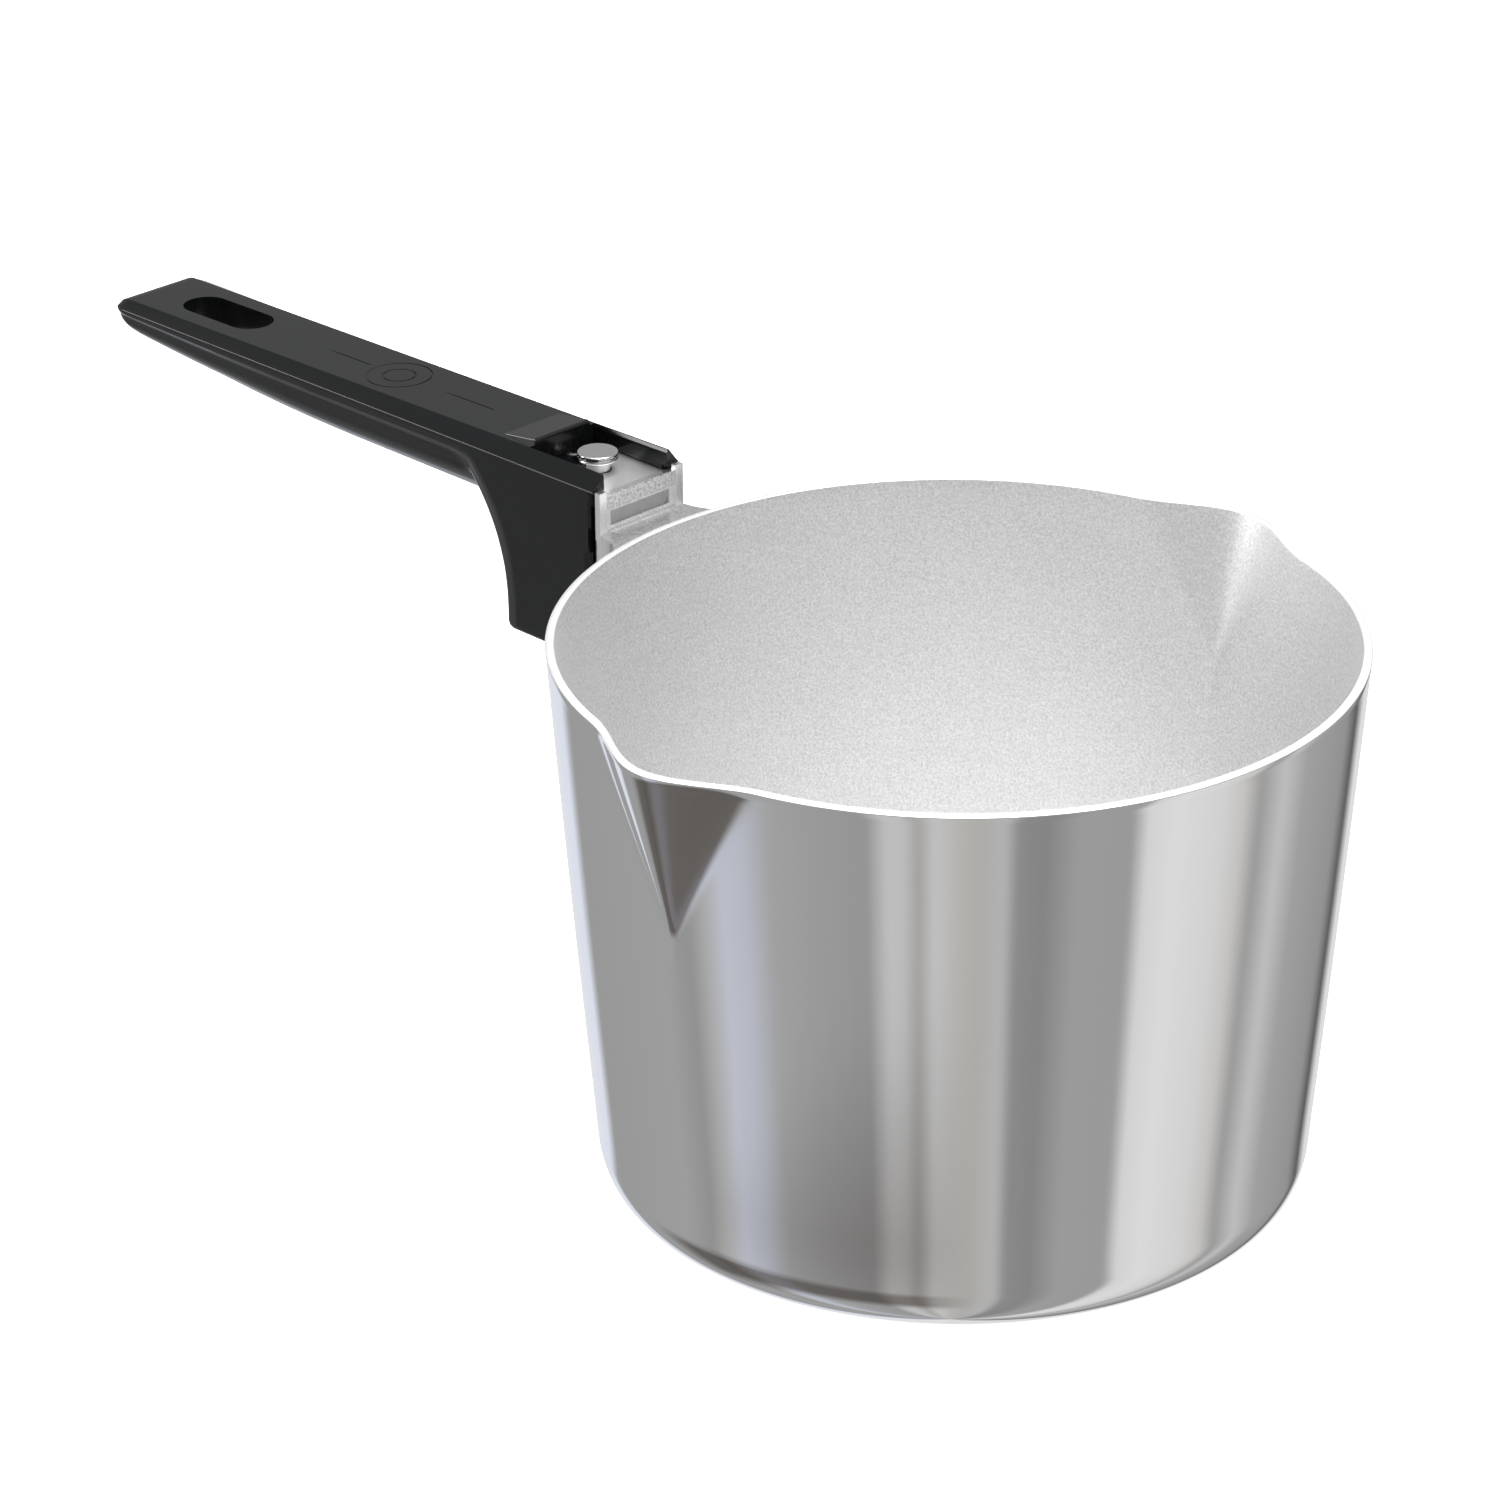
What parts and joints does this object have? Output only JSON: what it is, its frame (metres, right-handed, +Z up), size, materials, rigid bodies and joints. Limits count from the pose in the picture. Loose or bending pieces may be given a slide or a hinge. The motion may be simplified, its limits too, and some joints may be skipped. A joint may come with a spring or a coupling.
{
  "type": "melting pot",
  "caption": "Cast aluminium melting and pouring pot with two pouring spouts, a lug, and a black moulded handle that clips off with a push button.",
  "frame": {"origin": "centre of the pot's flat underside", "axes": "+Z up, the handle runs along -X, the two pouring spouts point along +Y and -Y"},
  "size_m": [0.319, 0.1724, 0.1253],
  "materials": {
    "pot_aluminium": "mirror-polished outside, fine blasted inside",
    "handle_black": "satin moulded phenolic",
    "button_steel": "polished",
    "spring_steel": "rolled spring strip",
    "screw_steel": "bright zinc plated"
  },
  "bodies": {
    "pot": {"pot_body": "pot_aluminium"},
    "handle": {"handle_body": "handle_black", "latch_spring": "spring_steel", "spring_screws": "screw_steel"},
    "button": {"latch_button": "button_steel", "button_washer": "button_steel"}
  },
  "joints": [
    {"name": "handle_slide", "type": "slide", "parent": "pot", "child": "handle", "axis": [-1, 0, 0], "range_m": [0, 0.045], "deforming": ["latch_spring"]},
    {"name": "button_press", "type": "slide", "parent": "handle", "child": "button", "axis": [0, 0, -1], "range_m": [0, 0.002], "stiffness_N_per_m": 4000, "springref_m": -0.0005, "deforming": ["latch_spring"]}
  ]
}
